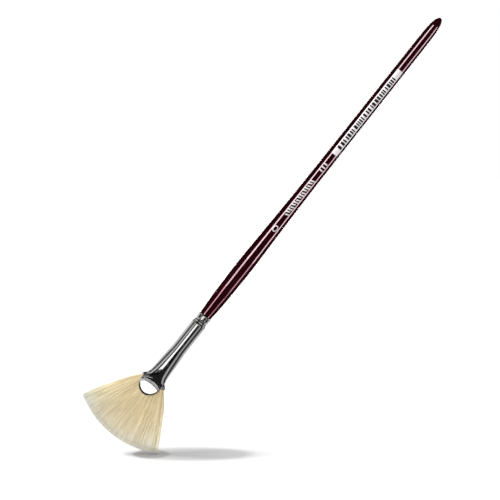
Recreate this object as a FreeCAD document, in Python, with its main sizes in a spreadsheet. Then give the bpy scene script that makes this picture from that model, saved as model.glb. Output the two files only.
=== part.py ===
"""Fan brush: lacquered wooden handle, nickel-plated ferrule with half-moon tongues, hog-bristle fan.

Frame: +Z runs up the handle from the hair to the tail, +X across the fan, -Y out of the printed
front. The origin is on the handle's axis at the thickest part of the belly. Millimetres.
"""

import FreeCAD, Part
import os
import Sketcher

# ---------------------------------------------------------------- driving dimensions
# name: (millimetres or degrees, meaning)
SIZES = {
    # handle, from the ferrule to the tail
    "tenon_end": (-55.0, "end of the tenon inside the ferrule"),
    "handle_foot": (-32.8, "where the handle meets the ferrule"),
    "foot_radius": (3.35, "handle radius at the ferrule"),
    "foot_round": (-31.2, "top of the rounded foot"),
    "foot_round_radius": (3.53, "handle radius there"),
    "swell_low": (-21.9, "first swell station"),
    "swell_low_radius": (4.07, "radius at the first swell station"),
    "swell_high": (-10.9, "second swell station"),
    "swell_high_radius": (4.36, "radius at the second swell station"),
    "grip_half": (3.0, "half length of the cylindrical belly"),
    "grip_radius": (4.47, "radius of the belly"),
    "fall_one": (16.4, "first taper station"),
    "fall_one_radius": (4.21, "radius at the first taper station"),
    "fall_two": (32.8, "second taper station"),
    "fall_two_radius": (3.84, "radius at the second taper station"),
    "fall_three": (54.7, "third taper station"),
    "fall_three_radius": (3.48, "radius at the third taper station"),
    "shank_low": (76.0, "start of the long straight shank"),
    "shank_low_radius": (3.32, "radius at its start"),
    "shank_high": (150.0, "end of the long straight shank"),
    "shank_high_radius": (3.20, "radius at its end"),
    "tail_tip": (174.9, "tip of the tail"),
    # label wrapped part of the way round the shank
    "label_low": (79.9, "lower end of the label"),
    "label_high": (138.2, "upper end of the label"),
    "label_thickness": (0.08, "thickness of the label"),
    "label_angle": (66.0, "how far round the label goes, degrees"),
    "label_turn": (9.0, "how far its middle is turned from the front, degrees"),
    # ferrule, thin drawn tube
    "wall": (0.30, "thickness of the ferrule wall"),
    "glue_gap": (0.10, "thickness of the glue film round the tenon"),
    "collar_radius": (3.65, "outer radius of the collar that grips the handle"),
    "collar_end": (-36.0, "end of the collar"),
    "crimp_radius": (3.40, "outer radius at the bottom of the crimped groove"),
    "crimp_low": (-36.9, "lower edge of the groove"),
    "crimp_high": (-36.4, "upper edge of the groove"),
    "tube_top": (-39.3, "where the tube reaches its full size"),
    "tube_radius": (4.10, "outer radius of the tube"),
    "shoulder_z": (-38.4, "middle of the rounded shoulder"),
    "shoulder_radius": (3.86, "outer radius at the middle of the shoulder"),
    "taper_start": (-56.0, "where the round tube starts to flatten"),
    "mouth": (-78.9, "mouth of the ferrule"),
    "tongue_base": (-79.9, "crease at the root of each tongue"),
    "tongue_half_width": (6.35, "half width of a tongue"),
    "tongue_height": (7.40, "height of a tongue below its crease"),
    # hair
    "plug_end": (-66.0, "lower end of the resin plug"),
    "neck_top": (-58.5, "upper end of the tied root of the hair"),
    "neck_radius": (2.90, "radius of the tied root"),
    "thread_low": (-64.2, "lower end of the binding"),
    "thread_pitch": (0.60, "pitch of the binding's turns"),
    "thread_size": (0.34, "how far the thread stands off the root"),
    "root_end": (-87.3, "where the hair leaves the tongues"),
    "flex_line": (-88.8, "line about which the fan flexes"),
    "flex_half_width": (13.72, "half width of the fan at the flex line"),
    "flex_half_thickness": (1.30, "half thickness of the fan at the flex line"),
    "fan_mid": (-101.0, "station half way down the fan"),
    "fan_mid_half_width": (21.56, "half width of the fan there"),
    "fan_mid_half_thickness": (1.10, "half thickness of the fan there"),
    "fan_low": (-117.0, "station past the end of the hair"),
    "fan_low_half_width": (31.85, "half width of the fan's outline there"),
    "fan_low_half_thickness": (0.85, "half thickness of the fan there"),
    "fan_arc_centre": (-64.1, "centre of the fan's rounded edge"),
    "fan_arc_radius": (51.0, "radius of the fan's rounded edge"),
}

# Outer shape of the flattened ferrule and of the hair that follows it: station, height,
# half width, half thickness. The ferrule keeps its outside here; the hair is one wall inside.
STATIONS = [
    ("start", -56.0, 4.10, 4.10),
    ("round", -60.0, 4.40, 4.03),
    ("oval", -65.0, 4.70, 3.68),
    ("waist", -70.0, 4.92, 3.20),
    ("flare", -74.0, 5.26, 2.68),
    ("ear", -76.9, 6.12, 2.20),
    ("lip", -78.9, 7.68, 1.88),
    ("hair", -83.0, 10.28, 1.72),
    ("leave", -87.3, 13.05, 1.62),
]

for station, height, half_width, half_thickness in STATIONS:
    SIZES[station + "_z"] = (height, "height of the " + station + " section")
    SIZES[station + "_half_width"] = (half_width, "half width there")
    SIZES[station + "_half_thickness"] = (half_thickness, "half thickness there")


class Size:
    """A number together with the spreadsheet expression that gives it."""

    def __init__(self, value, text):
        self.value = value
        self.text = text

    def __add__(self, other):
        return Size(self.value + other.value, "(" + self.text + " + " + other.text + ")")

    def __sub__(self, other):
        return Size(self.value - other.value, "(" + self.text + " - " + other.text + ")")

    def __neg__(self):
        return Size(-self.value, "(0 - " + self.text + ")")


def size(name):
    return Size(SIZES[name][0], "Dimensions." + name)


def fixed(value):
    return Size(value, repr(value))


ZERO = fixed(0.0)
NO_INSET = fixed(0.0)


def build_sheet(doc):
    sheet = doc.addObject("Spreadsheet::Sheet", "Dimensions")
    for row, (name, (value, meaning)) in enumerate(SIZES.items(), start=1):
        sheet.set("A" + str(row), name)
        sheet.set("B" + str(row), str(value))
        sheet.set("C" + str(row), meaning)
        sheet.setAlias("B" + str(row), name)
    doc.recompute()
    return sheet


# ---------------------------------------------------------------- helpers
def plane_of(body, role):
    for feature in body.Origin.OriginFeatures:
        if feature.Role == role:
            return feature
    raise RuntimeError("no origin plane " + role)


def vector(point):
    return FreeCAD.Vector(point[0].value, point[1].value, 0)


def pin_point(sketch, geometry, end, point):
    """Tie one end of a line or curve to two spreadsheet values."""
    for kind, coordinate in (("DistanceX", point[0]), ("DistanceY", point[1])):
        if coordinate is ZERO:
            axis = -2 if kind == "DistanceX" else -1
            sketch.addConstraint(Sketcher.Constraint("PointOnObject", geometry, end, axis))
            continue
        index = sketch.addConstraint(Sketcher.Constraint(kind, geometry, end, coordinate.value))
        sketch.setExpression("Constraints[" + str(index) + "]", coordinate.text)


def draw_profile(sketch, corners, curves=None):
    """Closed outline through the corners. curves maps the index of a side to the points and end
    tangents of the spline that replaces its straight line."""
    curves = curves or {}
    count = len(corners)
    for index in range(count):
        start = vector(corners[index])
        end = vector(corners[(index + 1) % count])
        if index in curves:
            between, first_tangent, last_tangent = curves[index]
            points = [start] + [FreeCAD.Vector(x, y, 0) for x, y in between] + [end]
            spline = Part.BSplineCurve()
            spline.interpolate(
                Points=points,
                InitialTangent=FreeCAD.Vector(first_tangent[0], first_tangent[1], 0),
                FinalTangent=FreeCAD.Vector(last_tangent[0], last_tangent[1], 0),
            )
            sketch.addGeometry(spline, False)
        else:
            sketch.addGeometry(Part.LineSegment(start, end), False)
    for index in range(count):
        following = (index + 1) % count
        sketch.addConstraint(Sketcher.Constraint("Coincident", index, 2, following, 1))
    for index in range(count):
        pin_point(sketch, index, 1, corners[index])


def turned_body(doc, label, corners, curves=None, angle=None):
    """A PartDesign body turned about Z from an outline in the XZ plane."""
    body = doc.addObject("PartDesign::Body", label + "_body")
    body.Label = label
    sketch = body.newObject("Sketcher::SketchObject", label + "_outline")
    sketch.AttachmentSupport = [(plane_of(body, "XZ_Plane"), "")]
    sketch.MapMode = "FlatFace"
    draw_profile(sketch, corners, curves)
    doc.recompute()
    turned = body.newObject("PartDesign::Revolution", label + "_turned")
    turned.Profile = sketch
    turned.ReferenceAxis = (sketch, ["V_Axis"])
    if angle is None:
        turned.Angle = 360.0
    else:
        turned.setExpression("Angle", angle.text)
        turned.Midplane = True
    body.Tip = turned
    doc.recompute()
    return body


def slab(doc, name, low, high):
    """A wide block between two heights, used to trim along the handle."""
    block = doc.addObject("Part::Box", name)
    block.Length = 120.0
    block.Width = 60.0
    block.setExpression("Height", (high - low).text)
    block.Placement.Base = FreeCAD.Vector(-60.0, -30.0, low.value)
    block.setExpression("Placement.Base.z", low.text)
    return block


def common(doc, name, one, other):
    result = doc.addObject("Part::Common", name)
    result.Base = one
    result.Tool = other
    return result


def cut(doc, name, one, other):
    result = doc.addObject("Part::Cut", name)
    result.Base = one
    result.Tool = other
    return result


def fuse(doc, name, one, other):
    result = doc.addObject("Part::Fuse", name)
    result.Base = one
    result.Tool = other
    return result


def oval(doc, name, height, half_width, half_thickness):
    ring = doc.addObject("Part::Ellipse", name)
    ring.setExpression("MajorRadius", half_width.text)
    ring.setExpression("MinorRadius", half_thickness.text)
    ring.setExpression("Placement.Base.z", height.text)
    return ring


def loft(doc, name, sections, ruled=False):
    result = doc.addObject("Part::Loft", name)
    result.Sections = sections
    result.Solid = True
    result.Ruled = ruled
    result.Closed = False
    return result


# ---------------------------------------------------------------- shapes shared by the pieces
def ferrule_rear_corners(inset):
    """Outline of the ferrule's round rear, moved inwards by inset."""
    return [
        (ZERO, size("taper_start")),
        (size("tube_radius") - inset, size("taper_start")),
        (size("tube_radius") - inset, size("tube_top")),
        (size("shoulder_radius") - inset, size("shoulder_z")),
        (size("crimp_radius") - inset, size("crimp_low")),
        (size("crimp_radius") - inset, size("crimp_high")),
        (size("collar_radius") - inset, size("collar_end")),
        (size("collar_radius") - inset, size("handle_foot")),
        (ZERO, size("handle_foot")),
    ]


def station_ovals(doc, prefix, inset):
    rings = []
    for station, _height, _half_width, _half_thickness in STATIONS:
        rings.append(
            oval(
                doc,
                prefix + "_" + station,
                size(station + "_z"),
                size(station + "_half_width") - inset,
                size(station + "_half_thickness") - inset,
            )
        )
    return rings


def tongue_outline(doc):
    """Everything above the mouth, and the half-moon below it, as one trimming solid."""
    moon = doc.addObject("Part::Ellipse", "tongue_edge")
    moon.setExpression("MajorRadius", size("tongue_height").text)
    moon.setExpression("MinorRadius", size("tongue_half_width").text)
    turn = FreeCAD.Rotation(
        FreeCAD.Vector(0, 0, 1), FreeCAD.Vector(1, 0, 0), FreeCAD.Vector(0, 1, 0), "XYZ"
    )
    moon.Placement = FreeCAD.Placement(FreeCAD.Vector(0, 0, size("tongue_base").value), turn)
    moon.setExpression("Placement.Base.z", size("tongue_base").text)
    prism = doc.addObject("Part::Extrusion", "tongue_prism")
    prism.Base = moon
    prism.DirMode = "Custom"
    prism.Dir = FreeCAD.Vector(0, 1, 0)
    prism.LengthFwd = 20.0
    prism.LengthRev = 20.0
    prism.Solid = True
    above = slab(doc, "above_mouth", size("mouth"), size("collar_end"))
    return fuse(doc, "tongue_trim", above, prism)


# ---------------------------------------------------------------- the pieces
def build_handle(doc):
    """Turned wooden handle with the tenon that goes into the ferrule."""
    inset = size("wall") + size("glue_gap")
    corners = [
        (ZERO, size("tenon_end")),
        (size("tube_radius") - inset, size("tenon_end")),
        (size("tube_radius") - inset, size("tube_top")),
        (size("shoulder_radius") - inset, size("shoulder_z")),
        (size("crimp_radius") - inset, size("crimp_low")),
        (size("crimp_radius") - inset, size("crimp_high")),
        (size("collar_radius") - inset, size("collar_end")),
        (size("collar_radius") - inset, size("handle_foot")),
        (size("foot_radius"), size("handle_foot")),
        (size("foot_round_radius"), size("foot_round")),
        (size("grip_radius"), -size("grip_half")),
        (size("grip_radius"), size("grip_half")),
        (size("shank_low_radius"), size("shank_low")),
        (size("shank_high_radius"), size("shank_high")),
        (ZERO, size("tail_tip")),
    ]

    def station(name):
        return (SIZES[name + "_radius"][0], SIZES[name][0])

    shank_slope = (
        SIZES["shank_high_radius"][0] - SIZES["shank_low_radius"][0],
        SIZES["shank_high"][0] - SIZES["shank_low"][0],
    )
    along_shank = (shank_slope[0] / shank_slope[1] * 18.0, 18.0)
    tail = SIZES["tail_tip"][0]
    tail_points = [
        (3.16, tail - 17.0),
        (3.05, tail - 10.6),
        (2.88, tail - 7.2),
        (2.56, tail - 4.6),
        (2.02, tail - 2.6),
        (1.30, tail - 1.0),
        (0.70, tail - 0.28),
    ]
    curves = {
        8: ([(3.46, SIZES["handle_foot"][0] + 0.45)], (0.1, 0.35), (0.06, 1.0)),
        9: ([station("swell_low"), station("swell_high")], (0.75, 10.0), (0.0, 8.0)),
        11: (
            [station("fall_one"), station("fall_two"), station("fall_three")],
            (0.0, 12.0),
            along_shank,
        ),
        13: (tail_points, (along_shank[0] / 2.0, along_shank[1] / 2.0), (-0.9, 0.0)),
    }
    return turned_body(doc, "handle", corners, curves)


def build_label(doc):
    """Thin label wrapped round the front of the shank."""
    slope = (SIZES["shank_high_radius"][0] - SIZES["shank_low_radius"][0]) / (
        SIZES["shank_high"][0] - SIZES["shank_low"][0]
    )

    def on_shank(height_name):
        rise = size(height_name) - size("shank_low")
        drop = size("shank_high_radius") - size("shank_low_radius")
        run = size("shank_high") - size("shank_low")
        value = SIZES["shank_low_radius"][0] + slope * rise.value
        text = "(Dimensions.shank_low_radius + " + drop.text + " * " + rise.text + " / " + run.text + ")"
        return Size(value, text)

    inner_low = on_shank("label_low")
    inner_high = on_shank("label_high")
    corners = [
        (inner_low, size("label_low")),
        (inner_low + size("label_thickness"), size("label_low")),
        (inner_high + size("label_thickness"), size("label_high")),
        (inner_high, size("label_high")),
    ]
    body = turned_body(doc, "label", corners, angle=size("label_angle"))
    turn = -90.0 + SIZES["label_turn"][0]
    body.Placement = FreeCAD.Placement(
        FreeCAD.Vector(0, 0, 0), FreeCAD.Rotation(FreeCAD.Vector(0, 0, 1), turn)
    )
    body.setExpression("Placement.Rotation.Angle", "Dimensions.label_turn - 90")
    doc.recompute()
    return body


def build_ferrule(doc, outer_loft, inner_space):
    """Seamless metal tube: collar, crimped groove, flattened flare and two half-moon tongues."""
    rear = turned_body(doc, "ferrule_rear", ferrule_rear_corners(NO_INSET))
    kept = common(doc, "ferrule_front", outer_loft, tongue_outline(doc))
    whole = fuse(doc, "ferrule_outside", rear, kept)
    ferrule = cut(doc, "ferrule_piece", whole, inner_space)
    ferrule.Label = "ferrule"
    return ferrule


def build_glue(doc):
    """Film of glue between the tenon and the ferrule."""
    wall = size("wall")
    gap = size("wall") + size("glue_gap")
    levels = [
        ("collar_radius", "handle_foot"),
        ("collar_radius", "collar_end"),
        ("crimp_radius", "crimp_high"),
        ("crimp_radius", "crimp_low"),
        ("shoulder_radius", "shoulder_z"),
        ("tube_radius", "tube_top"),
        ("tube_radius", "tenon_end"),
    ]
    outside = [(size(radius) - wall, size(height)) for radius, height in levels]
    inside = [(size(radius) - gap, size(height)) for radius, height in levels]
    return turned_body(doc, "tenon_glue", outside + inside[::-1])


def build_thread(doc, sheet):
    """Binding round the root of the hair: five turns of thread, laid side by side."""
    turns = 5
    low = float(sheet.get("thread_low"))
    pitch = float(sheet.get("thread_pitch"))
    root = float(sheet.get("neck_radius"))
    stand = float(sheet.get("thread_size"))
    valley = root + stand * 0.45
    edges = []
    start = FreeCAD.Vector(root, 0, low)
    edges.append(Part.makeLine(start, FreeCAD.Vector(valley, 0, low)))
    for turn in range(turns):
        bottom = FreeCAD.Vector(valley, 0, low + pitch * turn)
        middle = FreeCAD.Vector(root + stand, 0, low + pitch * (turn + 0.5))
        top = FreeCAD.Vector(valley, 0, low + pitch * (turn + 1))
        edges.append(Part.Arc(bottom, middle, top).toShape())
    end = FreeCAD.Vector(root, 0, low + pitch * turns)
    edges.append(Part.makeLine(FreeCAD.Vector(valley, 0, low + pitch * turns), end))
    edges.append(Part.makeLine(end, start))
    outline = Part.Face(Part.Wire(edges))
    ring = outline.revolve(FreeCAD.Vector(0, 0, 0), FreeCAD.Vector(0, 0, 1), 360)
    thread = doc.addObject("Part::Feature", "binding_thread")
    thread.Shape = ring
    thread.Placement = FreeCAD.Placement()
    thread.Label = "binding_thread"
    return thread


def build_neck(doc):
    neck = doc.addObject("Part::Cylinder", "hair_neck")
    neck.setExpression("Radius", size("neck_radius").text)
    neck.setExpression("Height", (size("neck_top") - size("plug_end")).text)
    neck.setExpression("Placement.Base.z", size("plug_end").text)
    return neck


def build_plug(doc, inner_space, neck, thread):
    """Resin that sets the root of the hair and fills the ferrule up to the tenon."""
    reach = slab(doc, "plug_slab", size("plug_end"), size("tenon_end"))
    block = common(doc, "plug_block", inner_space, reach)
    bored = cut(doc, "plug_bored", block, neck)
    plug = cut(doc, "plug_piece", bored, thread)
    plug.Label = "resin_plug"
    return plug


def build_root(doc, inner_loft, neck):
    """Hair held in the ferrule and between its tongues."""
    reach = slab(doc, "root_slab", size("root_end"), size("plug_end"))
    held = common(doc, "root_held", inner_loft, reach)
    root = fuse(doc, "root_piece", held, neck)
    root.Label = "hair_root"
    return root


def build_fan(doc):
    """Free part of the hair, with a rounded upper edge centred on the flex line."""
    levels = [("fan_top", "flex_line", "flex"), ("fan_middle", "fan_mid", "fan_mid")]
    levels.append(("fan_bottom", "fan_low", "fan_low"))
    sections = []
    for name, height, part in levels:
        half_width = size(part + "_half_width")
        half_thickness = size(part + "_half_thickness")
        sections.append(oval(doc, name, size(height), half_width, half_thickness))
    blade = loft(doc, "fan_blade", sections, ruled=True)
    nose = doc.addObject("Part::Ellipsoid", "fan_nose")
    nose.setExpression("Radius1", size("flex_half_thickness").text)
    nose.setExpression("Radius2", size("flex_half_width").text)
    nose.setExpression("Radius3", size("flex_half_thickness").text)
    nose.Placement.Base.z = size("flex_line").value
    nose.setExpression("Placement.Base.z", size("flex_line").text)
    edge = doc.addObject("Part::Cylinder", "fan_edge")
    edge.setExpression("Radius", size("fan_arc_radius").text)
    edge.Height = 20.0
    edge.Placement = FreeCAD.Placement(
        FreeCAD.Vector(0, 10.0, size("fan_arc_centre").value),
        FreeCAD.Rotation(FreeCAD.Vector(1, 0, 0), 90),
    )
    edge.setExpression("Placement.Base.z", size("fan_arc_centre").text)
    trimmed = common(doc, "fan_trimmed", blade, edge)
    fan = fuse(doc, "fan_piece", trimmed, nose)
    fan.Label = "hair_fan"
    return fan


def build():
    doc = FreeCAD.newDocument("fan_brush")
    sheet = build_sheet(doc)
    outer_loft = loft(doc, "outer_loft", station_ovals(doc, "outer", NO_INSET))
    inner_loft = loft(doc, "inner_loft", station_ovals(doc, "inner", size("wall")))
    inner_rear = turned_body(doc, "inner_rear", ferrule_rear_corners(size("wall")))
    inner_space = fuse(doc, "inner_space", inner_rear, inner_loft)
    neck = build_neck(doc)
    thread = build_thread(doc, sheet)
    pieces = [
        build_handle(doc),
        build_label(doc),
        build_ferrule(doc, outer_loft, inner_space),
        build_glue(doc),
        build_plug(doc, inner_space, neck, thread),
        thread,
        build_root(doc, inner_loft, neck),
        build_fan(doc),
    ]
    doc.recompute()
    for item in doc.Objects:
        for problem in ("Invalid", "Error"):
            if problem in item.State:
                raise RuntimeError(item.Name + " is " + problem)
    return pieces


def main():
    pieces = build()
    for piece in pieces:
        shape = piece.Shape
        if shape.isNull() or not shape.isValid():
            raise RuntimeError(piece.Label + " has no valid shape")
        if len(shape.Solids) != 1:
            raise RuntimeError(piece.Label + " has " + str(len(shape.Solids)) + " solids")
    os.makedirs("parts", exist_ok=True)
    for piece in pieces:
        piece.Shape.exportStep("parts/" + piece.Label + ".step")
        box = piece.Shape.optimalBoundingBox(False, False)
        print(
            piece.Label,
            "volume", round(piece.Shape.Volume, 2),
            "x", round(box.XMin, 2), round(box.XMax, 2),
            "y", round(box.YMin, 2), round(box.YMax, 2),
            "z", round(box.ZMin, 2), round(box.ZMax, 2),
        )


main()
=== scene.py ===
import math
import random

import bpy
import numpy as np
from mathutils import Matrix, Vector


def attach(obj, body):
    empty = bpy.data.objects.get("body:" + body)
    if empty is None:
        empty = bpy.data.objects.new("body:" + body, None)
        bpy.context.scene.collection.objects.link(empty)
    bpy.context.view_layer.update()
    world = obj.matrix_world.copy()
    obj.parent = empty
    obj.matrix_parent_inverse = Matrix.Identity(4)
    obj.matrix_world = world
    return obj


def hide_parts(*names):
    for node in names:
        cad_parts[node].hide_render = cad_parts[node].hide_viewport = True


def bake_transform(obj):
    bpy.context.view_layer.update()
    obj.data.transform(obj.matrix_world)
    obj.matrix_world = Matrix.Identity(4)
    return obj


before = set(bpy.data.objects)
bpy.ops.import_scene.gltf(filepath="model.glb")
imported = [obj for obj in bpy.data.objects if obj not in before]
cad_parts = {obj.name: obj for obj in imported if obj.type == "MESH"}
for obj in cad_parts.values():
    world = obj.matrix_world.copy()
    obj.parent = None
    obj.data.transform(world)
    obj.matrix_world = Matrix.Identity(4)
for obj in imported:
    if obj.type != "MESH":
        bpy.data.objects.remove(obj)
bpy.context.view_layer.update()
MM = 0.001

# The origin is on the handle's axis at the belly. Z runs up the handle, from the hair to the tail,
# X runs across the fan, and the printed front faces -Y. Shapes are worked out in millimetres.


# ------------------------------------------------------------------ node helpers
def new_material(name):
    mat = bpy.data.materials.new(name)
    mat.use_nodes = True
    nt = mat.node_tree
    return mat, nt, nt.nodes["Principled BSDF"]


def bare_material(name):
    """Material with only an output node, and the socket that its shader is linked to."""
    mat = bpy.data.materials.new(name)
    mat.use_nodes = True
    nt = mat.node_tree
    nt.nodes.clear()
    out = nt.nodes.new("ShaderNodeOutputMaterial")
    return mat, nt, out.inputs["Surface"]


def stretched_noise(nt, scale, detail, rough):
    """Noise in object space, stretched by the three factors in scale."""
    where = nt.nodes.new("ShaderNodeTexCoord")
    mapping = nt.nodes.new("ShaderNodeMapping")
    mapping.inputs["Scale"].default_value = scale
    noise = nt.nodes.new("ShaderNodeTexNoise")
    noise.inputs["Scale"].default_value = 1.0
    noise.inputs["Detail"].default_value = detail
    noise.inputs["Roughness"].default_value = rough
    nt.links.new(where.outputs["Object"], mapping.inputs["Vector"])
    nt.links.new(mapping.outputs["Vector"], noise.inputs["Vector"])
    return noise.outputs["Fac"]


def attribute(nt, name):
    n = nt.nodes.new("ShaderNodeAttribute")
    n.attribute_name = name
    return n.outputs["Fac"]


def ramp(nt, factor, stops):
    n = nt.nodes.new("ShaderNodeValToRGB")
    elements = n.color_ramp.elements
    elements[0].position, elements[0].color = stops[0][0], (*stops[0][1], 1)
    elements[1].position, elements[1].color = stops[-1][0], (*stops[-1][1], 1)
    for position, colour in stops[1:-1]:
        e = elements.new(position)
        e.color = (*colour, 1)
    nt.links.new(factor, n.inputs["Fac"])
    return n.outputs["Color"]


def mapped(nt, factor, low, high, start=0.0, end=1.0):
    n = nt.nodes.new("ShaderNodeMapRange")
    n.inputs["From Min"].default_value = start
    n.inputs["From Max"].default_value = end
    n.inputs["To Min"].default_value = low
    n.inputs["To Max"].default_value = high
    nt.links.new(factor, n.inputs["Value"])
    return n.outputs["Result"]


def multiplied(nt, one, other):
    """Product of two colours."""
    n = nt.nodes.new("ShaderNodeMix")
    n.data_type = "RGBA"
    n.blend_type = "MULTIPLY"
    n.inputs[0].default_value = 1.0
    nt.links.new(one, n.inputs[6])
    nt.links.new(other, n.inputs[7])
    return n.outputs[2]


def bumped(nt, bsdf, height, strength, distance):
    n = nt.nodes.new("ShaderNodeBump")
    n.inputs["Strength"].default_value = strength
    n.inputs["Distance"].default_value = distance
    nt.links.new(height, n.inputs["Height"])
    nt.links.new(n.outputs["Normal"], bsdf.inputs["Normal"])


# ------------------------------------------------------------------ materials
def lacquer_material():
    """Deep burgundy lacquer over turned wood: faint grain under a glossy coat with fine scratches."""
    mat, nt, bsdf = new_material("burgundy_lacquer")
    grain = stretched_noise(nt, (900, 900, 26), detail=6, rough=0.6)
    cloud = stretched_noise(nt, (90, 90, 20), detail=3, rough=0.5)
    base = ramp(nt, grain, [
        (0.30, (0.0125, 0.0010, 0.0019)),
        (0.55, (0.0210, 0.0017, 0.0032)),
        (0.80, (0.0310, 0.0032, 0.0052)),
    ])
    tint = ramp(nt, cloud, [(0.35, (0.82, 0.78, 0.80)), (0.70, (1.0, 1.0, 1.0))])
    nt.links.new(multiplied(nt, base, tint), bsdf.inputs["Base Color"])
    scratches = stretched_noise(nt, (2600, 2600, 90), detail=3, rough=0.65)
    gloss = mapped(nt, scratches, low=0.04, high=0.12, start=0.50, end=0.85)
    nt.links.new(gloss, bsdf.inputs["Roughness"])
    bsdf.inputs["Specular IOR Level"].default_value = 0.5
    bsdf.inputs["Coat Weight"].default_value = 0.35
    bsdf.inputs["Coat Roughness"].default_value = 0.03
    peel = stretched_noise(nt, (420, 420, 160), detail=2, rough=0.4)
    bumped(nt, bsdf, peel, strength=0.05, distance=0.0004)
    return mat


def nickel_material():
    """Polished nickel plate on a drawn tube: fine lengthwise marks, a little haze and handling."""
    mat, nt, bsdf = new_material("nickel_plate")
    bsdf.inputs["Metallic"].default_value = 1.0
    haze = stretched_noise(nt, (160, 160, 60), detail=4, rough=0.6)
    plate = ramp(nt, haze, [(0.30, (0.80, 0.80, 0.79)), (0.65, (0.90, 0.90, 0.895))])
    nt.links.new(plate, bsdf.inputs["Base Color"])
    drawn = stretched_noise(nt, (5200, 5200, 70), detail=4, rough=0.7)
    polish = mapped(nt, drawn, low=0.035, high=0.14, start=0.35, end=0.85)
    nt.links.new(polish, bsdf.inputs["Roughness"])
    bumped(nt, bsdf, drawn, strength=0.035, distance=0.0002)
    return mat


def label_material():
    """Matt white label stock with a faint fibre and a little soiling."""
    mat, nt, bsdf = new_material("label_stock")
    fibre = stretched_noise(nt, (2500, 2500, 900), detail=5, rough=0.65)
    soil = stretched_noise(nt, (300, 300, 60), detail=4, rough=0.6)
    base = ramp(nt, fibre, [(0.25, (0.68, 0.645, 0.67)), (0.75, (0.78, 0.745, 0.77))])
    dirt = ramp(nt, soil, [(0.25, (0.90, 0.88, 0.86)), (0.60, (1.0, 1.0, 1.0))])
    nt.links.new(multiplied(nt, base, dirt), bsdf.inputs["Base Color"])
    nt.links.new(mapped(nt, fibre, low=0.35, high=0.60), bsdf.inputs["Roughness"])
    bumped(nt, bsdf, fibre, strength=0.10, distance=0.0002)
    return mat


def ink_material(name, dark, light, rough):
    """Printed ink, slightly uneven in tone and gloss."""
    mat, nt, bsdf = new_material(name)
    speck = stretched_noise(nt, (4200, 4200, 4200), detail=4, rough=0.7)
    nt.links.new(ramp(nt, speck, [(0.30, dark), (0.62, light)]), bsdf.inputs["Base Color"])
    nt.links.new(mapped(nt, speck, low=rough - 0.08, high=rough + 0.12), bsdf.inputs["Roughness"])
    bumped(nt, bsdf, speck, strength=0.10, distance=0.0001)
    return mat


def hair_material():
    """Bleached hog bristle: cream, warmer near the ferrule, paler at the sides and flagged tips."""
    mat, nt, bsdf = new_material("hog_bristle")
    base = ramp(nt, attribute(nt, "along"), [
        (0.10, (0.61, 0.50, 0.285)),
        (0.34, (0.71, 0.60, 0.380)),
        (0.50, (0.77, 0.655, 0.42)),
        (0.66, (0.80, 0.70, 0.475)),
        (0.82, (0.85, 0.77, 0.565)),
        (0.93, (0.86, 0.81, 0.665)),
        (1.00, (0.90, 0.86, 0.76)),
    ])
    each = ramp(nt, attribute(nt, "tone"), [
        (0.00, (0.60, 0.50, 0.38)),
        (0.30, (0.88, 0.84, 0.78)),
        (0.60, (1.00, 1.00, 1.00)),
        (1.00, (1.12, 1.12, 1.14)),
    ])
    paler = ramp(nt, attribute(nt, "side"), [(0.15, (1.0, 1.0, 1.0)), (0.85, (1.0, 1.045, 1.10))])
    streak = stretched_noise(nt, (900, 900, 120), detail=3, rough=0.6)
    coat = ramp(nt, streak, [(0.30, (0.90, 0.88, 0.84)), (0.65, (1.0, 1.0, 1.0))])
    colour = multiplied(nt, multiplied(nt, base, each), coat)
    nt.links.new(multiplied(nt, colour, paler), bsdf.inputs["Base Color"])
    nt.links.new(mapped(nt, streak, low=0.34, high=0.55), bsdf.inputs["Roughness"])
    bsdf.inputs["Specular IOR Level"].default_value = 0.45
    bumped(nt, bsdf, streak, strength=0.15, distance=0.0001)
    return mat


def inner_material(name, dark, light, rough, scale):
    """The pieces inside the ferrule: cured glue, resin and waxed thread."""
    mat, nt, bsdf = new_material(name)
    cloud = stretched_noise(nt, scale, detail=4, rough=0.6)
    nt.links.new(ramp(nt, cloud, [(0.30, dark), (0.70, light)]), bsdf.inputs["Base Color"])
    nt.links.new(mapped(nt, cloud, low=rough - 0.1, high=rough + 0.15), bsdf.inputs["Roughness"])
    bumped(nt, bsdf, cloud, strength=0.2, distance=0.0003)
    return mat


LACQUER = lacquer_material()
NICKEL = nickel_material()
LABEL = label_material()
WHITE_INK = ink_material("white_ink", (0.50, 0.49, 0.49), (0.72, 0.71, 0.71), rough=0.38)
BLACK_INK = ink_material("black_ink", (0.008, 0.007, 0.008), (0.022, 0.020, 0.021), rough=0.45)
HAIR = hair_material()
GLUE = inner_material("cured_glue", (0.55, 0.44, 0.22), (0.74, 0.64, 0.38), 0.35, (600, 600, 600))
RESIN = inner_material("cured_resin", (0.18, 0.09, 0.03), (0.34, 0.20, 0.07), 0.20, (300, 300, 300))
THREAD = inner_material("waxed_thread", (0.46, 0.40, 0.30), (0.70, 0.64, 0.52), 0.60, (2500, 2500, 900))


# ------------------------------------------------------------------ mesh helpers
def mesh_object(name, verts, faces, material, body=None):
    """Smooth-shaded object from points in millimetres."""
    me = bpy.data.meshes.new(name)
    verts = np.asarray(verts, float).reshape(-1, 3) * MM
    me.from_pydata([tuple(v) for v in verts], [], [tuple(int(i) for i in f) for f in faces])
    me.materials.append(material)
    me.polygons.foreach_set("use_smooth", [True] * len(me.polygons))
    me.update()
    ob = bpy.data.objects.new(name, me)
    bpy.context.scene.collection.objects.link(ob)
    if body:
        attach(ob, body)
    return ob


def ring_faces(rows, columns):
    """Quads between rows of points, where each row is closed into a ring."""
    faces = []
    for i in range(rows - 1):
        low, high = i * columns, (i + 1) * columns
        for j in range(columns):
            k = (j + 1) % columns
            faces.append((low + j, low + k, high + k, high + j))
    return faces


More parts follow.
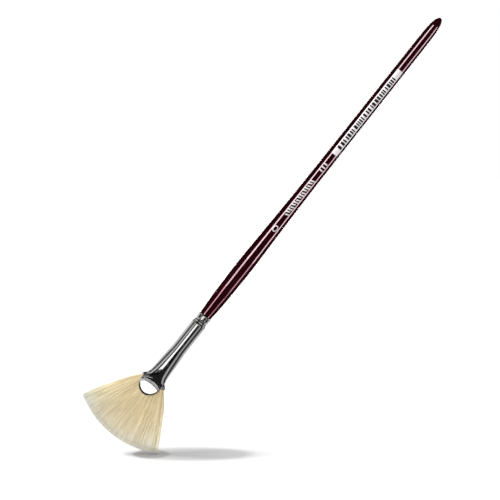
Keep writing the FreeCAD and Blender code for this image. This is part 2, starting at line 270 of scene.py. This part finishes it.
def monotone(xs, ys):
    """Smooth curve through the points that doesn't overshoot between them."""
    xs, ys = np.array(xs, float), np.array(ys, float)
    steps = np.diff(xs)
    slopes = np.diff(ys) / steps
    tangents = np.zeros(len(xs))
    tangents[0], tangents[-1] = slopes[0], slopes[-1]
    for i in range(1, len(xs) - 1):
        if slopes[i - 1] * slopes[i] > 0:
            w1, w2 = 2 * steps[i] + steps[i - 1], steps[i] + 2 * steps[i - 1]
            tangents[i] = (w1 + w2) / (w1 / slopes[i - 1] + w2 / slopes[i])

    def value(x):
        x = np.clip(np.asarray(x, float), xs[0], xs[-1])
        i = np.clip(np.searchsorted(xs, x) - 1, 0, len(xs) - 2)
        span = xs[i + 1] - xs[i]
        f = (x - xs[i]) / span
        return (
            (2 * f**3 - 3 * f**2 + 1) * ys[i]
            + (f**3 - 2 * f**2 + f) * span * tangents[i]
            + (-2 * f**3 + 3 * f**2) * ys[i + 1]
            + (f**3 - f**2) * span * tangents[i + 1]
        )

    return value


# ------------------------------------------------------------------ handle
FOOT, FOOT_EDGE, SHANK_END, TIP_START, TAIL = -32.8, -31.0, 160.0, 172.0, 174.9
FOOT_RINGS = (2.9, 3.25, 3.30)
HANDLE_COLUMNS = 120
handle_radius = monotone(
    [FOOT, -32.5, -32.0, -31.2, -27.4, -21.9, -16.4, -10.9, -3.0, 3.0, 10.9, 16.4, 21.9, 27.4, 32.8,
     43.8, 54.7, 65.0, 76.0, 150.0, 157.9, 164.3, 167.7, 170.3, 172.3, 173.9, 174.62, TAIL],
    [3.35, 3.42, 3.48, 3.53, 3.80, 4.07, 4.24, 4.36, 4.47, 4.47, 4.34, 4.21, 4.09, 3.97, 3.84,
     3.64, 3.48, 3.39, 3.32, 3.20, 3.16, 3.05, 2.88, 2.56, 2.02, 1.30, 0.70, 0.0],
)


def build_handle():
    """Turned handle: close rings at the rounded foot and at the blunt tip, even rings between."""
    heights = list(np.linspace(FOOT, FOOT_EDGE, 12))
    heights += list(np.linspace(FOOT_EDGE + 0.4, SHANK_END, 330))
    heights += list(np.linspace(SHANK_END + 0.5, TIP_START, 40))
    turn = np.linspace(0, math.pi / 2, 26)[1:-1]
    heights += list(TIP_START + (TAIL - TIP_START) * np.sin(turn))
    rings = [(r, FOOT) for r in FOOT_RINGS] + [(float(handle_radius(z)), z) for z in heights]
    angle = np.arange(HANDLE_COLUMNS) / HANDLE_COLUMNS * 2 * math.pi
    rows = []
    for r, z in rings:
        rows.append(np.stack([r * np.cos(angle), r * np.sin(angle), np.full(HANDLE_COLUMNS, z)], 1))
    faces = ring_faces(len(rows), HANDLE_COLUMNS)
    tip = len(rows) * HANDLE_COLUMNS
    last = tip - HANDLE_COLUMNS
    faces += [(last + j, last + (j + 1) % HANDLE_COLUMNS, tip) for j in range(HANDLE_COLUMNS)]
    verts = np.concatenate(rows + [[[0, 0, TAIL]]])
    ob = mesh_object("handle_skin", verts, faces, LACQUER, "brush")
    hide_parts("handle")
    return ob


# ------------------------------------------------------------------ printing
INK_LIFT = 0.012
MARKS_MIDDLE, MARKS_HALF = 0.35, 1.32
RING_HEIGHT, RING_INNER, RING_OUTER, RING_STRETCH, RING_COLUMNS = 28.2, 0.98, 1.42, 1.35, 40
LOZENGES_LOW, LOZENGES_HIGH, LOZENGE_LEAN, LOZENGE_COUNT = 37.2, 61.8, 0.80, 15
SHORT_BARS_LOW, SHORT_BAR_PITCH, SHORT_BAR_TALL, SHORT_BAR_COUNT = 68.2, 2.1, 0.78, 3
BARS_LOW, BARS_HIGH, BARS_MIDDLE, BARS_HALF, BARS_LIFT = 84.0, 134.2, 0.52, 1.30, 0.092
BAR_WIDTHS = (0.80, 1.00, 1.25, 1.55)
BAR_GAPS = (0.50, 0.62, 0.78, 1.10)
NARROWEST_LAST_BAR = 0.4
BAR_SEED = 11


def front_point(side, z, lift):
    """Point on the handle's skin at arc length side (mm, positive to the right) from the front."""
    r = float(handle_radius(z))
    a = side / r
    return ((r + lift) * math.sin(a), -(r + lift) * math.cos(a), z)


def printed_patch(left, right, low, high, lean=0.0, lift=INK_LIFT, across=8, along=6):
    """Patch of quads on the skin. Its right side stands higher than its left by lean."""
    verts, faces = [], []
    for i in range(along + 1):
        for j in range(across + 1):
            g = j / across
            z = low + (high - low) * i / along + lean * g
            verts.append(front_point(left + (right - left) * g, z, lift))
    for i in range(along):
        for j in range(across):
            k = i * (across + 1) + j
            faces.append((k, k + 1, k + across + 2, k + across + 1))
    return verts, faces


def joined(name, parts, material):
    """One printed object made of several patches."""
    verts, faces = [], []
    for patch_verts, patch_faces in parts:
        base = len(verts)
        verts += patch_verts
        faces += [tuple(i + base for i in face) for face in patch_faces]
    return mesh_object(name, verts, faces, material, "brush")


def ring_patches():
    """Narrow ring of single quads, a little longer along the handle than across it."""
    patches = []
    for i in range(RING_COLUMNS):
        start, end = i / RING_COLUMNS * 2 * math.pi, (i + 1) / RING_COLUMNS * 2 * math.pi
        verts = []
        for r, a in ((RING_INNER, start), (RING_OUTER, start), (RING_OUTER, end), (RING_INNER, end)):
            z = RING_HEIGHT + r * math.sin(a) * RING_STRETCH
            verts.append(front_point(MARKS_MIDDLE + r * math.cos(a), z, INK_LIFT))
        patches.append((verts, [(0, 1, 2, 3)]))
    return patches


def build_marks():
    """White printed marks: a ring, a row of slanted lozenges and three short bars. No lettering."""
    parts = ring_patches()
    pitch = (LOZENGES_HIGH - LOZENGES_LOW) / LOZENGE_COUNT
    for i in range(LOZENGE_COUNT):
        low = LOZENGES_LOW + pitch * (i + 0.1)
        left = MARKS_MIDDLE - MARKS_HALF * (1.0 if i % 3 else 0.55)
        right = MARKS_MIDDLE + MARKS_HALF * (0.62 if i % 3 == 1 else 1.0)
        parts.append(printed_patch(left, right, low, low + pitch * 0.50, lean=LOZENGE_LEAN))
    half = MARKS_HALF * 0.8
    for i in range(SHORT_BAR_COUNT):
        low = SHORT_BARS_LOW + i * SHORT_BAR_PITCH
        parts.append(printed_patch(MARKS_MIDDLE - half, MARKS_MIDDLE + half, low, low + SHORT_BAR_TALL))
    return joined("printed_marks", parts, WHITE_INK)


def build_bars():
    """Dark cross bars on the label: seeded widths and gaps that encode nothing."""
    left, right = BARS_MIDDLE - BARS_HALF, BARS_MIDDLE + BARS_HALF
    parts = []
    pick = random.Random(BAR_SEED)
    z = BARS_LOW
    while z < BARS_HIGH - NARROWEST_LAST_BAR:
        width = min(pick.choice(BAR_WIDTHS), BARS_HIGH - z)
        parts.append(printed_patch(left, right, z, z + width, lift=BARS_LIFT, across=10, along=1))
        z += width + pick.choice(BAR_GAPS)
    return joined("label_bars", parts, BLACK_INK)


# ------------------------------------------------------------------ ferrule
FERRULE_COLUMNS, TUBE_ROWS, FLARE_ROWS, RIM_ROWS, INSIDE_ROWS = 288, 66, 150, 6, 32
REAR, GROOVE_END, TUBE_START, FLARE_START, INSIDE_TOP = -32.8, -39.8, -40.6, -73.4, -70.0
MOUTH, CREASE, EAR_END = -78.9, -79.9, -79.35
TONGUE_HALF, TONGUE_TALL, TONGUE_SHIFT, WALL = 6.30, 7.40, -0.60, 0.30
EAR_START, EAR_STEP = 5.7, 0.8
ARCH_RISE, ARCH_HALF, ARCH_START, ARCH_RUN, PROFILE_SHIFT = 1.25, 6.4, -72.0, 4.0, 0.1
RIM_LENGTH, RIM_POWER, TONGUE_TUCK, EAR_ROLL = 0.95, 1.15, 0.36, 0.28
REAR_LIP = ((3.05, -33.6), (3.20, -33.1), (3.24, -32.86), (3.32, -32.80))
tongue_width = monotone(
    [-95.0, -87.3, -83.0, MOUTH, -76.9, -76.0, -74.0, -70.0, -65.0, -60.0, -56.0, GROOVE_END],
    [18.0, 13.05, 10.28, 7.40, 6.12, 5.70, 5.26, 4.92, 4.70, 4.40, 4.12, 4.10],
)
ear_width = monotone(
    [-95.0, -79.5, -79.1, -78.7, -78.3, -77.8, -77.2, -76.4,
     -75.4, -74.0, -70.0, -65.0, -60.0, -56.0, GROOVE_END],
    [7.20, 7.20, 7.58, 7.72, 7.68, 7.34, 6.66, 5.92,
     5.52, 5.24, 4.92, 4.70, 4.40, 4.12, 4.10],
)
half_thickness = monotone(
    [-95.0, -87.3, -83.0, -80.60, -80.30, -79.2, -78.95, -78.6,
     -76.9, -74.0, -70.0, -65.0, -60.0, -56.0, GROOVE_END],
    [1.60, 1.62, 1.68, 1.71, 1.81, 1.63, 1.64, 1.90,
     2.20, 2.68, 3.20, 3.68, 4.03, 4.10, 4.10],
)
rear_radius = monotone(
    [GROOVE_END, -39.2, -38.9, -38.4, -38.0, -37.6, -37.3, -37.0,
     -36.6, -36.2, -35.9, -33.6, -33.3, -33.0, REAR],
    [4.10, 4.10, 4.06, 3.86, 3.74, 3.69, 3.62, 3.46,
     3.36, 3.56, 3.66, 3.66, 3.61, 3.50, 3.38],
)


def ferrule_end(spin):
    """Height at which the sheet ends, going down the tube at this angle round it."""
    if abs(float(tongue_width(MOUTH)) * math.sin(spin) - TONGUE_SHIFT) >= TONGUE_HALF:
        return EAR_END
    high, low = MOUTH, CREASE - TONGUE_TALL
    for _ in range(40):
        z = 0.5 * (high + low)
        x = float(tongue_width(z)) * math.sin(spin) - TONGUE_SHIFT
        drop = max(0.0, CREASE - z)
        if (x / TONGUE_HALF) ** 2 + (drop / TONGUE_TALL) ** 2 < 1:
            high = z
        else:
            low = z
    return 0.5 * (high + low)


def build_ferrule():
    """Drawn tube: rear lip, collar, crimped groove, shoulder, flare, rolled mouth and tongues."""
    spins = np.arange(FERRULE_COLUMNS) / FERRULE_COLUMNS * 2 * math.pi
    sin, cos = np.sin(spins), np.cos(spins)
    ends = np.array([ferrule_end(s) for s in spins])
    # 0 on the tongues, 1 on the ears beside them
    ear = np.abs(float(tongue_width(MOUTH)) * sin - TONGUE_SHIFT)
    ear = np.clip((ear - EAR_START) / EAR_STEP, 0, 1)
    ear = ear * ear * (3 - 2 * ear)

    def round_row(r, z):
        return np.stack([r * sin, -r * cos, np.full(FERRULE_COLUMNS, z)], 1)

    def shell(z, inset, tuck):
        """Ring of points at the heights z. tuck draws the tongue's rim in towards the hair."""
        a = tongue_width(z) * (1 - ear) + ear_width(z) * ear
        arch = ARCH_RISE * np.clip(a * sin / ARCH_HALF, -1, 1) ** 2
        arch = arch * np.clip((ARCH_START - z) / ARCH_RUN, 0, 1)
        b = half_thickness(z + arch - PROFILE_SHIFT)
        x = (a - inset) * sin
        y = -(b - inset - TONGUE_TUCK * tuck * (1 - ear) + EAR_ROLL * tuck * ear) * cos
        return np.stack([x, y, np.broadcast_to(z, (FERRULE_COLUMNS,))], 1)

    def rim_tuck(z):
        """Share of the tuck at the heights z: 1 at the edge of the sheet, 0 away from it."""
        return np.clip(1 - (z - ends) / RIM_LENGTH, 0, 1) ** RIM_POWER

    rows = [round_row(r, z) for r, z in REAR_LIP]
    for top, bottom, count in ((REAR, -33.7, 12), (-34.2, -35.6, 4), (-35.8, GROOVE_END, 44)):
        rows += [round_row(float(rear_radius(z)), z) for z in np.linspace(top, bottom, count)]
    rows += [shell(z, 0.0, 0.0) for z in np.linspace(TUBE_START, FLARE_START, TUBE_ROWS)]
    for i in range(1, FLARE_ROWS + 1):
        z = FLARE_START + (ends - FLARE_START) * i / FLARE_ROWS
        rows.append(shell(z, 0.0, rim_tuck(z)))
    for i in range(1, RIM_ROWS + 1):
        turn = math.pi * i / RIM_ROWS
        rim = shell(ends, WALL / 2 * (1 - math.cos(turn)), 1.0)
        rim[:, 2] -= WALL / 2 * math.sin(turn)
        rows.append(rim)
    for i in range(1, INSIDE_ROWS + 1):
        z = ends + (INSIDE_TOP - ends) * (i / INSIDE_ROWS) ** 1.5
        rows.append(shell(z, WALL, rim_tuck(z)))
    faces = ring_faces(len(rows), FERRULE_COLUMNS)
    ob = mesh_object("ferrule_skin", np.concatenate(rows), faces, NICKEL, "brush")
    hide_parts("ferrule")
    return ob


# ------------------------------------------------------------------ hair
ARC_CENTRE, ARC_RADIUS, FAN_HALF_WIDTH = -64.1, 51.0, 26.05
FAN_HALF_ANGLE = math.asin(FAN_HALF_WIDTH / ARC_RADIUS)
HAIR_STEPS, HAIR_SIDES = 10, 4
ROOT, ROOT_INSET, ROOT_DEPTH = -73.5, 0.60, 1.7
WAIST, WAIST_INSET, WAIST_DEPTH = -76.9, 0.55, 1.45
MOUTH_HALF = 7.22
EDGE_ROUNDING = 0.93
AIM_SPREAD = 0.006
REACH_MEAN, REACH_SPREAD, REACH_MOST = 0.28, 0.20, 0.55
SHORT_SHARE, SHORT_LEAST, SHORT_MOST = 0.10, 0.4, 4.0
BOW, BOW_SPREAD, SWAY_SPREAD, DRIFT_SPREAD = 0.95, 0.22, 0.20, 0.10
HAIR_SIZE, HAIR_SIZE_SPREAD, HAIR_SIZE_LEAST, HAIR_SIZE_MOST = 0.088, 0.014, 0.055, 0.125
SPLIT_SHARE, SPLIT_SIZE = 0.5, 0.055
fan_thickness = monotone(
    [-116.0, -108.0, -101.0, -94.0, -88.5, -86.5, -83.0, -79.0, -70.0],
    [0.78, 0.90, 1.02, 1.14, 1.24, 1.22, 1.22, 1.38, 2.6],
)


def hair_lines(count, depth_low, depth_high, seed):
    """Centre lines of hairs, from inside the ferrule to the trimmed arc."""
    pick = np.random.default_rng(seed)
    along = np.concatenate([[0.0, 0.02], np.linspace(0.04, 1.0, HAIR_STEPS + 1)])
    base = (np.arange(count) + pick.uniform(-0.9, 0.9, count)) / (count - 1) * 2 - 1
    root_half = float(ear_width(ROOT)) - ROOT_INSET
    waist_half = float(ear_width(WAIST)) - WAIST_INSET
    lines = []
    for s in np.clip(base, -1, 1):
        depth = pick.uniform(depth_low, depth_high) * math.sqrt(1 - (s * EDGE_ROUNDING) ** 2)
        aim = s * FAN_HALF_ANGLE + pick.normal(0, AIM_SPREAD)
        aim = float(np.clip(aim, -FAN_HALF_ANGLE, FAN_HALF_ANGLE))
        reach = ARC_RADIUS + min(REACH_MOST, pick.normal(REACH_MEAN, REACH_SPREAD))
        if pick.random() < SHORT_SHARE:
            reach -= pick.uniform(SHORT_LEAST, SHORT_MOST)
        tip_x, tip_z = reach * math.sin(aim), ARC_CENTRE - reach * math.cos(aim)
        bow = BOW * s + pick.normal(0, BOW_SPREAD)
        drift = pick.normal(0, DRIFT_SPREAD)
        sway = pick.normal(0, SWAY_SPREAD)
        points = [
            (s * root_half, depth * ROOT_DEPTH, ROOT),
            (s * waist_half, depth * WAIST_DEPTH, WAIST),
        ]
        for i in range(HAIR_STEPS + 1):
            f = i / HAIR_STEPS
            x = s * MOUTH_HALF * (1 - f) + tip_x * f
            x += bow * math.sin(math.pi * f) * (1 - 0.35 * f) + sway * math.sin(2 * math.pi * f)
            z = MOUTH + (tip_z - MOUTH) * f
            points.append((x, depth * float(fan_thickness(z)) + drift * f * f * 1.5, z))
        lines.append(np.array(points))
    return lines, [along] * count


def hair_object(name, lines, alongs, tones, sizes):
    """One mesh of tapered hairs, with the three values that the bristle's colour follows."""
    verts, faces, along_values, tone_values = [], [], [], []
    for line, along, tone, size in zip(lines, alongs, tones, sizes):
        tangent = np.gradient(line, axis=0)
        tangent /= np.linalg.norm(tangent, axis=1)[:, None]
        across = np.cross(tangent, np.array([0.0, 1.0, 0.0]))
        across /= np.linalg.norm(across, axis=1)[:, None]
        out = np.cross(across, tangent)
        radius = size * (1.0 - 0.30 * along**1.5)
        radius[-1] *= 0.55
        base = len(verts)
        rows = len(line)
        for i in range(rows):
            for k in range(HAIR_SIDES):
                a = (k + 0.5) / HAIR_SIDES * 2 * math.pi
                verts.append(line[i] + radius[i] * (math.cos(a) * across[i] + math.sin(a) * out[i]))
                along_values.append(along[i])
                tone_values.append(tone)
        faces += [tuple(base + i for i in face) for face in ring_faces(rows, HAIR_SIDES)]
        faces.append(tuple(base + k for k in range(HAIR_SIDES))[::-1])
        faces.append(tuple(base + (rows - 1) * HAIR_SIDES + k for k in range(HAIR_SIDES)))
    ob = mesh_object(name, np.array(verts), faces, HAIR)
    side_values = np.clip(np.abs(np.array(verts)[:, 0]) / 26.0, 0, 1)
    for title, values in (("along", along_values), ("tone", tone_values), ("side", side_values)):
        point_values = ob.data.attributes.new(title, "FLOAT", "POINT")
        point_values.data.foreach_set("value", np.array(values, np.float32))
    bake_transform(ob)
    return ob


def flags(lines, seed):
    """Split ends: short fine hairs that leave some of the hairs just before the tip."""
    pick = np.random.default_rng(seed)
    split_lines = []
    for line in lines:
        if pick.random() > SPLIT_SHARE:
            continue
        start, tip = line[-2] * 0.45 + line[-1] * 0.55, line[-1]
        direction = tip - start
        side = np.array([pick.normal(0, 0.10), pick.normal(0, 0.10), pick.normal(0, 0.12)])
        middle = start + direction * 0.5 + side * 0.35
        end = start + direction * (0.95 + pick.uniform(-0.1, 0.04)) + side
        split_lines.append(np.array([start, middle, end]))
    return split_lines, [np.array([0.97, 0.99, 1.0])] * len(split_lines)


def build_hair():
    """Five layers of separate bristles, from the front of the fan to the back."""
    pieces = []
    for name, count, low, high, seed in (
        ("bristles_front", 620, -1.0, -0.62, 21),
        ("bristles_front_inner", 520, -0.62, -0.15, 22),
        ("bristles_middle", 480, -0.15, 0.15, 23),
        ("bristles_back_inner", 520, 0.15, 0.62, 24),
        ("bristles_back", 620, 0.62, 1.0, 25),
    ):
        lines, alongs = hair_lines(count, low, high, seed)
        pick = np.random.default_rng(seed + 100)
        clumps = count // 9
        clump_tones = pick.normal(0, 0.16, clumps)
        clump = np.interp(np.arange(count), np.linspace(0, count, clumps), clump_tones)
        tones = np.clip(pick.normal(0.62, 0.20, count) + clump, 0, 1)
        sizes = pick.normal(HAIR_SIZE, HAIR_SIZE_SPREAD, count)
        sizes = np.clip(sizes, HAIR_SIZE_LEAST, HAIR_SIZE_MOST)
        split_lines, split_alongs = flags(lines, seed + 200)
        split_tones = np.clip(pick.normal(0.75, 0.15, len(split_lines)), 0, 1)
        tones = list(tones) + list(split_tones)
        sizes = list(sizes) + [SPLIT_SIZE] * len(split_lines)
        pieces.append(hair_object(name, lines + split_lines, alongs + split_alongs, tones, sizes))
    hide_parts("hair_root", "hair_fan")
    return pieces


# ------------------------------------------------------------------ build
handle_skin = build_handle()
printed_marks = build_marks()
label_bars = build_bars()
ferrule_skin = build_ferrule()
hair = build_hair()
for cad_name, material in (
    ("label", LABEL),
    ("tenon_glue", GLUE),
    ("resin_plug", RESIN),
    ("binding_thread", THREAD),
):
    cad_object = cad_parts[cad_name]
    cad_object.data.materials.clear()
    cad_object.data.materials.append(material)


# ------------------------------------------------------------------ studio
ROLL = math.radians(38.35)
UP = Vector((-math.sin(ROLL), 0, math.cos(ROLL)))
RIGHT = Vector((math.cos(ROLL), 0, math.sin(ROLL)))
AIM = Vector((-0.003215, 0, 0.01046))
VIEW_WIDTH = 0.2736
CARD_DISTANCE, FLAG_DISTANCE = 0.40, 0.020
LAMP_AIM = Vector((0.0, 0.0, -0.03))
FAN_CORNER = Vector((0.018, 0, -0.110))
FLOOR_CORNER = Vector((FAN_HALF_WIDTH, 0, -108.0)) * MM
FLOOR_PITCH, FLOOR_REACH, FLOOR_GAP = math.radians(11), 0.9, 0.0006


def build_camera():
    """Long lens that looks along +Y, rolled so that the brush leans in the picture."""
    data = bpy.data.cameras.new("camera")
    data.lens = 200
    data.sensor_width = 36
    data.clip_start = 0.05
    data.clip_end = 20
    cam = bpy.data.objects.new("camera", data)
    distance = VIEW_WIDTH * data.lens / data.sensor_width
    cam.matrix_world = Matrix((
        (RIGHT.x, UP.x, 0, AIM.x),
        (RIGHT.y, UP.y, -1, AIM.y - distance),
        (RIGHT.z, UP.z, 0, AIM.z),
        (0, 0, 0, 1),
    ))
    bpy.context.scene.collection.objects.link(cam)
    bpy.context.scene.camera = cam


def build_world():
    """White surroundings for the eye and for soft light, dim ones for mirror reflections."""
    world = bpy.data.worlds.new("studio")
    world.use_nodes = True
    nt = world.node_tree
    nt.nodes.clear()
    out = nt.nodes.new("ShaderNodeOutputWorld")
    path = nt.nodes.new("ShaderNodeLightPath")
    mix = nt.nodes.new("ShaderNodeMixShader")
    nt.links.new(path.outputs["Is Glossy Ray"], mix.inputs["Fac"])
    for socket, strength in ((1, 1.0), (2, 0.012)):
        surroundings = nt.nodes.new("ShaderNodeBackground")
        surroundings.inputs["Color"].default_value = (1, 1, 1, 1)
        surroundings.inputs["Strength"].default_value = strength
        nt.links.new(surroundings.outputs[0], mix.inputs[socket])
    nt.links.new(mix.outputs[0], out.inputs["Surface"])
    # no shadow rays towards the surroundings, so that the gauzes don't dim their light
    world.cycles.sampling_method = "NONE"
    bpy.context.scene.world = world


def light_only(lamp, *receivers):
    """Let a lamp or lit panel light only the named objects."""
    group = bpy.data.collections.new(lamp.name + "_lights")
    for ob in receivers:
        group.objects.link(ob)
    lamp.light_linking.receiver_collection = group


def blocked_by(lamp, *objects):
    """Let only the named objects cast shadows of a lamp."""
    group = bpy.data.collections.new(lamp.name + "_blockers")
    for ob in objects:
        group.objects.link(ob)
    lamp.light_linking.blocker_collection = group


def aimed_lamp(name, kind, energy, direction, place=(0, 0, 0)):
    """Lamp that shines along direction and isn't seen in mirror reflections."""
    data = bpy.data.lights.new(name, kind)
    data.energy = energy
    lamp = bpy.data.objects.new(name, data)
    lamp.location = place
    lamp.rotation_euler = direction.to_track_quat("-Z", "Y").to_euler()
    lamp.visible_glossy = False
    bpy.context.scene.collection.objects.link(lamp)
    return lamp


def staged_sheet(name, points, material):
    """Flat polygon that belongs to the studio, not to the brush. Points are in metres."""
    me = bpy.data.meshes.new(name)
    me.from_pydata([tuple(p) for p in points], [], [tuple(range(len(points)))])
    me.materials.append(material)
    ob = bpy.data.objects.new(name, me)
    bpy.context.scene.collection.objects.link(ob)
    return ob


def build_card(name, azimuth, width, low, high, strength, distance=CARD_DISTANCE, tint=(1, 1, 1),
               lit=None, drop=0.0):
    """Upright panel that only mirror reflections see. Azimuth 0 is in front of the brush.

    Azimuth and width are in degrees, low and high are heights in millimetres, and drop lowers
    the right end of the lower edge. A panel of strength 0 is a dark flag.
    """
    a = math.radians(azimuth)
    centre = Vector((math.sin(a) * distance, -math.cos(a) * distance, 0))
    side = Vector((math.cos(a), math.sin(a), 0))
    half = distance * math.tan(math.radians(width / 2))
    ends = ((-half, low), (half, low - drop), (half, high), (-half, high))
    corners = [centre + side * reach + Vector((0, 0, height * MM)) for reach, height in ends]
    mat, nt, surface = bare_material(name)
    glow = nt.nodes.new("ShaderNodeEmission")
    glow.inputs["Color"].default_value = (*tint, 1)
    glow.inputs["Strength"].default_value = strength
    nt.links.new(glow.outputs[0], surface)
    ob = staged_sheet(name, corners, mat)
    ob.visible_camera = False
    ob.visible_diffuse = False
    ob.visible_shadow = False
    ob.visible_transmission = False
    if lit:
        light_only(ob, lit)


def build_ferrule_cards():
    """Panels and flags for the polished ferrule: azimuth, width, low, high and strength."""
    for name, azimuth, width, low, high, strength in (
        ("card_left", -49.5, 25, -230, -49, 0.55),
        ("card_left_side", -80, 26, -200, -49, 0.10),
        ("card_left_back", -145, 90, -420, -36, 0.60),
        ("card_right", 50, 32, -230, -49, 0.36),
        ("card_right_side", 82, 24, -200, -49, 0.08),
        ("card_right_back", 137, 76, -420, -36, 0.50),
        ("card_left_under", -88, 64, -460, -235, 0.55),
        ("card_right_under", 98, 64, -460, -235, 0.50),
        ("card_front_under", 27, 18, -390, -240, 0.50),
        ("card_collar", -22, 60, -48, -36, 1.10),
        ("card_collar_right", 62, 22, -48, -36, 0.40),
        ("card_tongue", -1, 30, -150, -80, 1.4),
        ("card_above", 5, 100, -20, 150, 0.40),
        ("card_above_left", -88, 84, 0, 150, 0.42),
        ("card_above_right", 98, 84, 0, 150, 0.42),
    ):
        build_card(name, azimuth, width, low, high, strength, lit=ferrule_skin)
    build_card("card_key", -19, 30, -180, -49, 1.25, lit=ferrule_skin, drop=9)
    build_card("flag_tube", 6, 20, -69, -56, 0.0, distance=FLAG_DISTANCE)
    build_card("flag_flare", -20, 34, -82.0, -78.7, 0.0, distance=FLAG_DISTANCE)


def build_handle_strips():
    """Blush strips for the lacquer: four heights on each side of the front, and one behind."""
    for name, low, high, left, right, tint_left, tint_right in (
        ("strip_high", 15, 310, 19.0, 14.2, (1.0, 0.76, 0.83), (1.0, 0.69, 0.79)),
        ("strip_middle", -36, 15, 15.0, 8.0, (1.0, 0.69, 0.77), (1.0, 0.55, 0.67)),
        ("strip_low", -110, -36, 15.0, 7.4, (1.0, 0.47, 0.60), (1.0, 0.45, 0.60)),
        ("strip_under", -420, -110, 15.0, 12.0, (1.0, 0.76, 0.83), (1.0, 0.69, 0.79)),
    ):
        build_card(name + "_left", -36, 21, low, high, left, tint=tint_left, lit=handle_skin)
        build_card(name + "_right", 67, 19, low, high, right, tint=tint_right, lit=handle_skin)
    build_card("strip_back", 180, 14, -420, 420, 12.0, tint=(1.0, 0.79, 0.85), lit=handle_skin)


def build_lamps():
    """Soft lamp overhead, and a small one in front of the lower corner of the fan."""
    place = LAMP_AIM + UP * 0.55 - RIGHT * 0.34 + Vector((0, -0.12, 0))
    overhead = aimed_lamp("overhead", "AREA", 8.0, LAMP_AIM - place, place)
    overhead.data.size = 0.25
    light_only(overhead, *hair, printed_marks, label_bars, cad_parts["label"])
    blocked_by(overhead, *hair, ferrule_skin, handle_skin)
    place = FAN_CORNER + Vector((0.004, -0.05, -0.004))
    fill = aimed_lamp("fill", "AREA", 0.009, FAN_CORNER - place, place)
    fill.data.size = 0.05
    light_only(fill, *hair)
    blocked_by(fill, *hair)


def floor_material():
    """Grey paper that is clear from below."""
    mat, nt, surface = bare_material("floor_paper")
    paper = nt.nodes.new("ShaderNodeBsdfDiffuse")
    paper.inputs["Color"].default_value = (0.30, 0.30, 0.30, 1)
    clear = nt.nodes.new("ShaderNodeBsdfTransparent")
    side = nt.nodes.new("ShaderNodeNewGeometry")
    mix = nt.nodes.new("ShaderNodeMixShader")
    nt.links.new(side.outputs["Backfacing"], mix.inputs["Fac"])
    nt.links.new(paper.outputs[0], mix.inputs[1])
    nt.links.new(clear.outputs[0], mix.inputs[2])
    nt.links.new(mix.outputs[0], surface)
    return mat


def build_gauze(name, centre, long_half, deep_half, passes):
    """Flat oval veil between two half axes, which lets through the share passes of the light."""
    angles = np.linspace(0, 2 * math.pi, 33)[:-1]
    points = [centre + long_half * math.cos(a) + deep_half * math.sin(a) for a in angles]
    mat, nt, surface = bare_material(name)
    veil = nt.nodes.new("ShaderNodeBsdfTransparent")
    veil.inputs["Color"].default_value = (passes, passes, passes, 1)
    nt.links.new(veil.outputs[0], surface)
    gauze = staged_sheet(name, points, mat)
    gauze.visible_camera = False
    gauze.visible_diffuse = False
    gauze.visible_glossy = False
    gauze.visible_transmission = False
    return gauze


def build_floor():
    """Plain floor, level in the picture, under the lower corner of the fan."""
    normal = UP * math.cos(FLOOR_PITCH) + Vector((0, -1, 0)) * math.sin(FLOOR_PITCH)
    along = RIGHT
    deep = normal.cross(along)
    centre = FLOOR_CORNER - normal * FLOOR_GAP
    signs = ((-1, -1), (1, -1), (1, 1), (-1, 1))
    corners = [centre + along * (FLOOR_REACH * i) + deep * (FLOOR_REACH * j) for i, j in signs]
    floor = staged_sheet("floor", corners, floor_material())
    floor.visible_glossy = False
    ray = (RIGHT * 0.62 - UP * 0.78).normalized()
    sun = aimed_lamp("floor_light", "SUN", 11.0, ray)
    sun.data.angle = math.radians(20)
    light_only(sun, floor)
    # gauzes that soften the shadow of the fan: where they are along the floor, how far up the
    # ray, their half length and half depth, and the share of light that passes
    gauzes = []
    for name, middle, up_ray, length, depth, passes in (
        ("gauze_near", -0.004, 0.004, 0.010, 0.009, 0.45),
        ("gauze_middle", 0.018, 0.022, 0.034, 0.014, 0.52),
        ("gauze_far", 0.036, 0.030, 0.030, 0.012, 0.80),
    ):
        place = FLOOR_CORNER + along * middle - ray * up_ray
        gauzes.append(build_gauze(name, place, along * length, deep * depth, passes))
    blocked_by(sun, *gauzes, *hair)


build_camera()
build_world()
build_ferrule_cards()
build_handle_strips()
build_lamps()
build_floor()
scene = bpy.context.scene
scene.view_settings.view_transform = "Standard"
scene.view_settings.look = "None"
